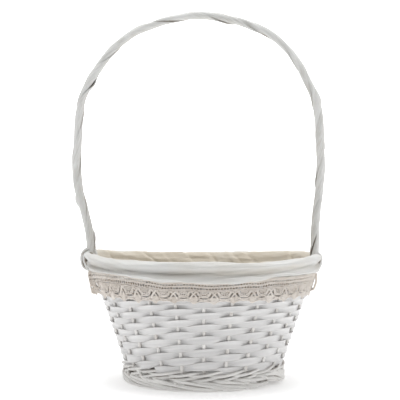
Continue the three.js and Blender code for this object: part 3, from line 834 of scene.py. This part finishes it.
def rim_rise(angle):
    """How far the top of the cuff is pulled up towards the handle's legs."""
    side = np.sin(np.radians(angle))
    return np.where(side < 0, LEG_RISE[LEFT], LEG_RISE[RIGHT]) * np.abs(side) ** LEG_RISE_POWER


def ripple(place, wavelength, kind):
    """One of the cuff's own unevennesses, which joins up with itself round the rim."""
    return wander(place, wavelength, CUFF_SEEDS + kind, 360)


cuff_angle = RIGHT + np.linspace(0, 360, CUFF_STEPS, endpoint=False)
around = cuff_angle[:, None]
profile = spline(CUFF_PROFILE, CUFF_RING, closed=True)
square, upward = profile[None, :, 0], profile[None, :, 1]
turn = np.arctan2(upward, square)
lowness = smooth(-upward, -3, 7) * smooth(square, 0, 5)
inside = smooth(-square, 0.5, 4.5)
front = smooth(square, 1, 5) * (1 - smooth(upward, 7.2, 9.8))

# Slanting creases, and the hollow, which wanders up and down and comes and goes.
valley = np.exp(-(((upward - HOLLOW_HEIGHT + 3.2 * ripple(around, 22, 9)) / HOLLOW_WIDTH) ** 2))
valley = valley * smooth(square, 2, 6) * (0.62 + 0.38 * ripple(around, 14, 10))
crease = 1.3 * ripple(around + 42 * turn, 24, 3) + 0.9 * ripple(around - 60 * turn, 12, 4)
crease = crease - 1.0 * valley + 0.35 * ripple(around + 20 * turn, 4.5, 5)

# Pleats inside the rim, each a groove with a ridge beside it, and fine gathers between them.
folds = np.zeros_like(crease)
for number, place in enumerate(PLEATS):
    slant = PLEAT_SLANT * (1 + 0.4 * wander(number, 1, CUFF_SEEDS + 8))
    away = (around - place - slant * upward + 180) % 360 - 180
    depth = 0.55 + 0.5 * wander(number, 1, CUFF_SEEDS + 12)
    folds = folds - depth * (1.4 * np.exp(-((away / 1.3) ** 2)) - 1.0 * np.exp(-(((away - 3.6) / 2.4) ** 2)))
gathers = 0.5 * np.abs(ripple(around - PLEAT_SLANT * upward, 5, 6))

# Two slits on top let the handle through, and its bindings pinch the cuff.
slit = sum(np.exp(-((((around - place) / 1.3) ** 2) + ((square - 1.2) / 1.1) ** 2)) for place in SLIT_ANGLES)
slit = slit * (upward > 6)
pinch = sum(near(around, leg, PINCH_WIDTH) for leg in (LEFT, RIGHT))

swell = crease * (1 - 0.5 * inside) + (folds - gathers) * inside - SLIT_DEPTH * slit - PINCH * pinch
rise = rim_rise(around) * (1 - lowness) + (cuff_edge(around) - LEVEL_EDGE) * lowness
cuff_points = wall(around, RIM_HEIGHT, square + swell * np.cos(turn), upward + swell * np.sin(turn) + rise)
# Painted shade: the cloth is tinted towards its cream shade inside the rim (partly its own colour), in the
# valley and in the pleats' grooves; near-black is painted along the outside's valley, more on the left and less
# on the right, and into the two slits
shade = 0.95 * inside + 0.6 * valley + 0.35 * smooth(-folds, 0.2, 1.4) * inside - 0.1 * ripple(around, 9, 7)
painted_shade = 0.06 + 0.4 * valley * (1 + 0.5 * ripple(around - 30 * turn, 9, 11))
painted_shade = front * painted_shade * (1 + 0.7 * near(around, -55, 45) - 0.9 * near(around, 50, 40))
darkest = np.maximum(painted_shade, 0.95 * slit)
across = length_along(np.concatenate([profile, profile[:1]]))[:-1]
cuff = Shape()
cuff.grid(cuff_points, cuff_angle * 2, across, loop=True, tone=shade, bare_and_shade=darkest)
cuff_piece = cuff.build("liner_cuff", "liner_cotton")

# ---- Liner: the side gathered inside the wall, and the bottom ----

LINER_OUT = -5.2
LINER_SEEDS = 661
GATHERS_FILL_OUT = (40, 85)  # between these heights
GATHERS_FLATTEN = (88, 102)  # again under the cuff

side_angle = RIGHT + np.linspace(0, 360, 600, endpoint=False)
side_height = np.linspace(LINER_FLOOR - 1, RIM_HEIGHT + 4, 60)
pleats = np.abs(wander(side_angle[:, None] - 0.25 * side_height[None], 7, LINER_SEEDS, 360)) ** 0.7
fullness = 0.4 + 2.0 * smooth(side_height, *GATHERS_FILL_OUT) * (1 - smooth(side_height, *GATHERS_FLATTEN))
cloth_out = LINER_OUT + 0.7 * smooth(side_height, 96, 106)[None] - pleats * fullness[None]
liner_side = Shape()
side_points = wall(side_angle[:, None], side_height[None], cloth_out)
# the tone tints the inside cloth cream: partly its own colour, partly painted shade
liner_side.grid(side_points, side_angle * 1.6, side_height, wrap=False, loop=True, tone=0.8)
side_piece = liner_side.build("liner_side_cloth", "liner_cotton", ["liner_side"])

floor_radius = float(np.linalg.norm(wall(0, LINER_FLOOR, LINER_OUT)[:2]))
disc_angle = np.linspace(0, 360, 180, endpoint=False)
disc_radius = np.linspace(0.5, floor_radius, 36)
swirl = wander(disc_angle[:, None] + disc_radius[None], 25, LINER_SEEDS + 10, 360)
waves = 0.5 * swirl * smooth(disc_radius, 10, 60)[None]
liner_floor = Shape()
disc_points = at(disc_angle[:, None], disc_radius[None], LINER_FLOOR + waves)
# the tone tints the bottom cloth cream: partly its own colour, partly painted shade
liner_floor.grid(disc_points, disc_angle * 0.8, disc_radius, wrap=False, loop=True, tone=0.5)
floor_piece = liner_floor.build("liner_bottom_cloth", "liner_cotton", ["liner_bottom"])

# ---- Lace: a cotton edging with a heading, two rows of eyelets, fans and pointed teeth ----

# The edging's own heights are millimetres down from its top edge.
LACE_UNITS = 36
LACE_LENGTH = 684.0
LACE_UNIT = LACE_LENGTH / LACE_UNITS
LACE_DROP = 19.6
LACE_BOTTOM = 84.6
TUCKED_UNDER_CUFF = 1.2
LACE_OUT = 3.9
YARN = 0.36  # radii
CORD = 0.62
HEADING_CORD = 0.4
RAIL_CORD = 0.44
YARN_STEP = 1.2
LONG_CORD_STEP = 1.5
HEADING = (0.4, 1.2)
EYELET_ROWS = [(1.9, 3.9), (4.6, 6.9)]  # the upper and lower edge of each row of eyelets
EYELETS = 7  # in each repeat
SECOND_RAIL = 7.9
FAN_HALF = 6.6  # half the width of a fan where it starts
FAN_FOOT_HALF = 4.4  # and of its flat lower edge
FAN_FOOT = 13.4
SLIT_FOOT = 15.2  # the lower edge of the slit under each fan
VALLEY = 17.0
TOOTH_TOP = 13.6
TIP_LEVEL = 19.4
NET_STEP = 1.05
STRAY = 0.2  # how far a yarn strays from its drawn line
BUNCH_ANGLE = LEFT + 7  # the edging is bunched up here, where its end was sewn down
BUNCH_WIDTH = 19
BUNCH_LIFT = 5.0
LACE_SEEDS = 900
TAIL_ANGLE = 80
TAIL_WIDTH = 4.4
TAIL_CORD = 0.9
TAIL_CORD_STEP = 0.8
TAIL_LOOP = [
    # [square to the wall, along it] from the rim's middle, down on the inside and up again on the outside
    *[(3.0, -5.0), (3.8, -12.0), (4.2, -18.6), (5.6, -20.4), (7.2, -18.0), (7.0, -11.0), (4.6, -4.6)],
]


def lace_angle(u):
    """The angle from the front at a distance along the band from the left leg."""
    return LEFT + 360 * u / LACE_LENGTH


def bunching(angle):
    """How closely the edging is bunched there, from 0 to 1."""
    return near(angle, BUNCH_ANGLE, BUNCH_WIDTH)


def lace_point(u, v):
    """Where a point of the lace hangs: u along the band from the left leg, v down from its top edge."""
    angle = lace_angle(u)
    bunched = bunching(angle)
    top = cuff_edge(angle) + TUCKED_UNDER_CUFF
    low = LACE_BOTTOM + 0.8 * wander(angle, 18, LACE_SEEDS + 1, 360) + BUNCH_LIFT * bunched
    fall = (top - low) / math.cos(CONE_ANGLE) * v / LACE_DROP
    sway = 0.9 * wander(u, 11, LACE_SEEDS + 2, LACE_LENGTH) + 0.5 * wander(u, 5, LACE_SEEDS + 3, LACE_LENGTH)
    ruffle = bunched * (4.2 + 4.6 * wander(u + 0.3 * v, 2.6, LACE_SEEDS + 4, LACE_LENGTH))
    out = LACE_OUT + (0.25 + 0.75 * v / LACE_DROP) * sway + ruffle * smooth(v, -2, 4)
    crushed = bunched * 1.6 * wander(v + 0.2 * u, 4.0, LACE_SEEDS + 5)
    return wall(angle + crushed, top, out, -fall), wall_outward(angle)


def fan_rim(inset):
    """The U-shaped outline of a fan, drawn in by a distance."""
    side = [(FAN_HALF - inset, SECOND_RAIL), (FAN_FOOT_HALF + 1.3 - inset, FAN_FOOT - 3.0)]
    side.append((FAN_FOOT_HALF - 0.4 - inset, FAN_FOOT - 0.7 - inset))
    side.append((FAN_FOOT_HALF - 2.4, FAN_FOOT - inset))
    return [(-u, v) for u, v in side] + side[::-1]


def mesh_rows(middle, half_width, top, foot):
    """A net of yarn that zigzags across and down. Its half width is a function of the level."""
    across, down = [], []
    for number, v in enumerate(np.arange(top, foot, NET_STEP / 2)):
        across.append((middle - half_width(v) if number % 2 else middle + half_width(v), v))
    columns = max(1, int(2 * half_width(top) / NET_STEP / 1.5))
    for number in range(columns):
        share = 2 * (number + 0.5) / columns - 1
        levels = np.arange(top, foot + 0.1, NET_STEP)
        down.append([(middle + half_width(v) * share + 0.25 * (-1) ** k, v) for k, v in enumerate(levels)])
    return [across, *down]


def lace_unit():
    """The yarns of one repeat, from fan to fan with a tooth between: (points, radius) pairs, laid flat."""
    middle = LACE_UNIT / 2
    yarns = [(fan_rim(0.0), CORD), (fan_rim(1.15), CORD)]
    slit_end = FAN_FOOT_HALF + 0.6
    for side in (-1, 1):
        slit_half = [(side * slit_end, FAN_FOOT + 0.9), (side * (slit_end - 1.4), SLIT_FOOT)]
        yarns.append((slit_half + [(0, SLIT_FOOT + 0.2)], CORD))
    edge = [(0, VALLEY), (2.6, VALLEY - 0.2), (middle - 3.2, VALLEY + 0.6), (middle - 1.1, TIP_LEVEL - 0.5)]
    yarns.append((edge + [(middle, TIP_LEVEL)] + [(2 * middle - u, v) for u, v in reversed(edge)], CORD))
    # The inside of the fan: arcs held by a few rays, with holes between.
    for reach in (0.34, 0.62):
        foot = SECOND_RAIL + (FAN_FOOT - SECOND_RAIL - 1.2) * reach
        half = FAN_HALF * (0.35 + 0.6 * reach) - 1.0
        side = [(half, SECOND_RAIL), (half * 0.7, foot - 0.6)]
        yarns.append(([(-u, v) for u, v in side] + [(0, foot)] + side[::-1], YARN))
    for ray in (-2, -1, 0, 1, 2):
        yarns.append(([(0.9 * ray, SECOND_RAIL), (2.1 * ray, FAN_FOOT - 1.0 - 0.25 * abs(ray))], YARN))
    # Between the fans two plaits cross, and run on into the tooth.
    for side in (-1, 1):
        plait = [(middle + side * 2.9, SECOND_RAIL), (middle - side * 2.2, 12.6), (middle - side * 3.4, 15.4)]
        yarns.append((plait, CORD))
        yarns.append(([(u + 1.0 * side, v) for u, v in plait], YARN))
    yarns.append(([(middle - 1.2, 9.2), (middle, 8.4), (middle + 1.2, 9.2)], YARN))
    # Solid work fills the tooth and the band under the slits.
    tooth = mesh_rows(middle, lambda v: 0.4 + (TIP_LEVEL - v) * 1.15, TOOTH_TOP, TIP_LEVEL - 0.4)
    band = mesh_rows(0, lambda v: slit_end, SLIT_FOOT + 0.5, VALLEY)
    return yarns + [(points, YARN) for points in tooth + band]


def lace_cord(shape, points, radius, loop=False, tone=0.0):
    """Sweeps one yarn of the lace, a little astray from its drawn line."""
    points = np.asarray(points, float)
    u, v = points.T
    astray = STRAY * wander(u + 3 * v, 2.3, int(1000 * radius) + 7, LACE_LENGTH if loop else None)
    path, facing = lace_point(u, v + astray)
    # painted shade: the bunched end is tinted darker, as among its crumpled folds
    darkening = 1.1 * bunching(lace_angle(u))[:, None]
    shape.sweep(path, facing, round_section(radius, 6), loop=loop, tone=tone + darkening)


lace = Shape()
along = np.arange(0, LACE_LENGTH, LONG_CORD_STEP)
long_cords = [(v, HEADING_CORD) for v in HEADING]
long_cords += [(v, RAIL_CORD) for v in (*np.ravel(EYELET_ROWS), SECOND_RAIL)]
for v, radius in long_cords:
    lace_cord(lace, np.stack([along, v + 0 * along], -1), radius, loop=True)
eyelet_pitch = LACE_UNIT / EYELETS
zigzag = np.arange(0, LACE_LENGTH - 0.01, eyelet_pitch / 6)
for row, (upper, lower) in enumerate(EYELET_ROWS):
    bars = np.clip(2.2 * np.sin(np.pi * (zigzag / eyelet_pitch + row / 2)), -1, 1)
    level = (upper + lower) / 2 + bars * (lower - upper) / 2
    lace_cord(lace, np.stack([zigzag, level], -1), RAIL_CORD, loop=True)
for unit in range(LACE_UNITS):
    for number, (points, radius) in enumerate(lace_unit()):
        points = np.asarray(points, float)
        length = np.linalg.norm(np.diff(points, axis=0), axis=1).sum()
        line = spline(points, max(4, int(length / YARN_STEP)))
        shade = 0.4 * wander(unit + 0.37 * number, 1, LACE_SEEDS + 71)
        lace_cord(lace, line + [unit * LACE_UNIT, 0], radius, tone=shade)
# The end of the lace hangs in a narrow loop beside the right leg.
for lane in np.arange(-TAIL_WIDTH / 2, TAIL_WIDTH / 2 + 0.1, TAIL_CORD_STEP):
    line = spline(TAIL_LOOP, 40)
    path = wall(TAIL_ANGLE + math.degrees(lane / RIM_RADIUS), RIM_HEIGHT, line[:, 0], line[:, 1] + 0.2 * lane)
    lace.sweep(path, directions(TAIL_ANGLE), round_section(TAIL_CORD, 8), tone=0.5)
lace_piece = lace.build("lace_edging", "lace_cotton", ["lace_trim"])

# ---- Bindings: split strips that tie each leg of the handle down over the cuff ----

BINDING_PATH = [
    # [square to the wall, along it] from the rim's middle, from inside the basket to outside it
    *[(-3.6, -6.0), (-4.4, 2.0), (-3.2, 6.4), (0.2, 8.4), (4.0, 7.4), (6.2, 3.4), (6.6, -2.0), (5.0, -8.5)],
]
BINDING_OFFSETS = (2.2, 5.6)  # of its two strands, from the leg
BINDING_STACK = {LEFT: (3.2, 0.2), RIGHT: (-0.6, -1.7)}  # how far each strand stands off the binding path
BINDING_STRAND = (4.4, 3.4)  # width and thickness
BINDING_SEEDS = 836

for end, leg in (("left", LEFT), ("right", RIGHT)):
    for face, towards in (("front", -1), ("back", 1)):
        binding = Shape()
        for number, (offset, stack) in enumerate(zip(BINDING_OFFSETS, BINDING_STACK[leg])):
            t = np.linspace(0, 1, 60)
            line = spline(BINDING_PATH, len(t))
            spreading = offset * (0.5 + 0.5 * smooth(t, 0.3, 0.7))
            spreading = spreading + 0.5 * wander(t, 0.3, BINDING_SEEDS + number)
            angle = leg + np.degrees((spreading * towards + leg_beside) * np.sign(leg) / RIM_RADIUS)
            lift = stack * smooth(t, 0.1, 0.4) * (1 - 0.7 * smooth(t, 0.8, 1.0))
            lift = lift + 0.3 * wander(t, 0.2, BINDING_SEEDS + 2 + number)
            away = line / np.linalg.norm(line, axis=1)[:, None]
            out, up = (line + away * lift[:, None]).T
            path = wall(angle, RIM_HEIGHT, out, up + LEG_RISE[leg])
            above = wall(angle, RIM_HEIGHT, out + away[:, 0], up + away[:, 1] + LEG_RISE[leg])
            section = round_section(1.0, 12) * np.array(BINDING_STRAND) / 2
            section = section * (1 + 0.12 * wander(t, 0.25, BINDING_SEEDS + 6 + number))[:, None, None]
            bare_and_shade = hidden_side(section, BINDING_STRAND[1] / 2)
            binding.sweep(path, above - path, section, bare_and_shade=bare_and_shade, tone=0.2)
        binding.build(f"{end}_{face}_binding", "handle_willow", [f"lashing_{end}_{face}"])

# ---- Floor, backdrop and light ----

FLOOR_HALF = 3.0  # metres, like everything on the stage
BACKDROP_HALF = 1.6
BACKDROP_HEIGHT = 2.0
BACKDROP_PLACE = 1.8  # behind the basket, just out of its shadow
WORLD_STRENGTH = 0.41
LIGHTS = [
    # [name, place, what it points at, size, watts]
    ("overhead", (0, 0.05, 1.7), (0, 0, 0), 1.4, 23),
    ("left_softbox", (-1.3, -0.25, 0.6), (0, 0, 0.15), 0.9, 3.2),
    ("right_softbox", (1.3, -0.25, 0.6), (0, 0, 0.15), 0.9, 4.0),
]


def glowing_paper(name, white, glow):
    """Matt white paper that glows a little, so that it photographs as plain white."""
    n = Nodes(name)
    texture = n.bump(n.noise(n.add("NewGeometry").outputs["Position"], 200.0), 0.05)
    n.surface.inputs["Emission Color"].default_value = (1, 1, 1, 1)
    n.surface.inputs["Emission Strength"].default_value = glow
    return n.finish((white, white, white, 1), 0.9, texture)


def stage_plane(name, corners, material):
    """A flat sheet of the stage."""
    mesh = bpy.data.meshes.new(name)
    mesh.from_pydata(corners, [], [(0, 1, 2, 3)])
    mesh.materials.append(material)
    plane = bpy.data.objects.new(name, mesh)
    bpy.context.scene.collection.objects.link(plane)


def area_light(name, place, target, size, power):
    """A round softbox turned towards a target."""
    light = bpy.data.lights.new(name, "AREA")
    light.shape = "DISK"
    light.size = size
    light.energy = power
    lamp = bpy.data.objects.new(name, light)
    lamp.location = place
    lamp.rotation_euler = (Vector(target) - Vector(place)).to_track_quat("-Z", "Y").to_euler()
    bpy.context.scene.collection.objects.link(lamp)


square_signs = [(-1, -1), (1, -1), (1, 1), (-1, 1)]
floor_corners = [(FLOOR_HALF * x, FLOOR_HALF * y, 0) for x, y in square_signs]
backdrop_corners = [(BACKDROP_HALF * x, BACKDROP_PLACE, BACKDROP_HEIGHT * (y + 1) / 2) for x, y in square_signs]
stage_plane("floor", floor_corners, glowing_paper("pale_floor", 0.85, 0.33))
stage_plane("backdrop", backdrop_corners, glowing_paper("white_backdrop", 0.9, 0.85))
for light in LIGHTS:
    area_light(*light)

world = bpy.data.worlds.new("studio")
bpy.context.scene.world = world
world.use_nodes = True
world.node_tree.nodes["Background"].inputs["Color"].default_value = (1, 1, 1, 1)
world.node_tree.nodes["Background"].inputs["Strength"].default_value = WORLD_STRENGTH
bpy.context.scene.view_settings.view_transform = "Standard"
